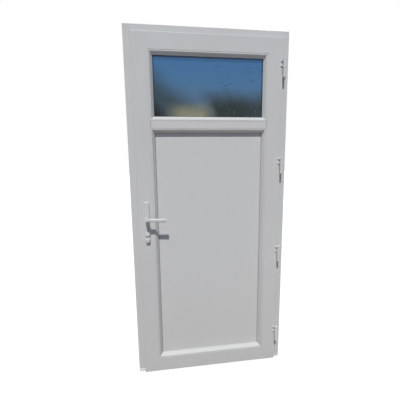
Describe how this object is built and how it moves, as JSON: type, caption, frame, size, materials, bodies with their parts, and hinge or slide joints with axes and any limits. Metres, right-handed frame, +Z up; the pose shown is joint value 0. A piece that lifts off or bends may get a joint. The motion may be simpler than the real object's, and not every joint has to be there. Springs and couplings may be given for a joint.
{
  "type": "upvc door",
  "caption": "White uPVC entrance door in its frame: hinged leaf with a glazed top light over a flat panel, lever handles and barrel hinges.",
  "frame": {"origin": "underside of the threshold, in the middle of the doorway's width and of the frame's depth", "axes": "+Z up, +Y to the outdoor side, +X to the hinge side; the leaf opens towards -Y"},
  "size_m": [0.9, 0.201, 2],
  "materials": {
    "upvc_white": "satin",
    "bead_white": "satin",
    "panel_white": "satin",
    "glass": "obscure",
    "seal_black": "matte",
    "seal_white": "matte",
    "spacer_aluminium": "matte",
    "threshold_aluminium": "satin",
    "hinge_white": "satin",
    "handle_white": "gloss",
    "lock_steel": "satin",
    "cylinder_nickel": "satin"
  },
  "bodies": {
    "frame": {"frame_head": "upvc_white", "frame_hinge_jamb": "upvc_white", "frame_lock_jamb": "upvc_white", "frame_seal": "seal_black", "hinge_1_frame_knuckle": "hinge_white", "hinge_2_frame_knuckle": "hinge_white", "hinge_3_frame_knuckle": "hinge_white", "hinge_4_frame_knuckle": "hinge_white", "lock_keeps": "lock_steel", "threshold": "threshold_aluminium"},
    "leaf": {"glass_inner_pane": "glass", "glass_outer_pane": "glass", "glass_spacer": "spacer_aluminium", "hinge_1_leaf_knuckle": "hinge_white", "hinge_2_leaf_knuckle": "hinge_white", "hinge_3_leaf_knuckle": "hinge_white", "hinge_4_leaf_knuckle": "hinge_white", "inside_plate": "handle_white", "lock_bolts": "lock_steel", "lock_cylinder": "cylinder_nickel", "lock_strip": "lock_steel", "lower_bead_bottom": "bead_white", "lower_bead_hinge_side": "bead_white", "lower_bead_lock_side": "bead_white", "lower_bead_top": "bead_white", "lower_inner_gasket": "seal_white", "lower_outer_gasket": "seal_black", "lower_panel": "panel_white", "outside_plate": "handle_white", "sash_bottom_rail": "upvc_white", "sash_hinge_stile": "upvc_white", "sash_lock_stile": "upvc_white", "sash_mid_rail": "upvc_white", "sash_seal": "seal_black", "sash_top_rail": "upvc_white", "upper_bead_bottom": "bead_white", "upper_bead_hinge_side": "bead_white", "upper_bead_lock_side": "bead_white", "upper_bead_top": "bead_white", "upper_inner_gasket": "seal_black", "upper_outer_gasket": "seal_black"},
    "handle": {"inside_lever": "handle_white", "outside_lever": "handle_white", "spindle": "lock_steel"}
  },
  "joints": [
    {"name": "door_swing", "type": "hinge", "parent": "frame", "child": "leaf", "pos_m": [0.416, -0.068, 1], "axis": [0, 0, 1], "range_deg": [0, 110]},
    {"name": "lever_turn", "type": "hinge", "parent": "leaf", "child": "handle", "pos_m": [-0.364, -0.018, 0.979], "axis": [0, 1, 0], "range_deg": [0, 40], "stiffness_Nm_per_rad": 1.5, "springref_deg": -34.38}
  ]
}
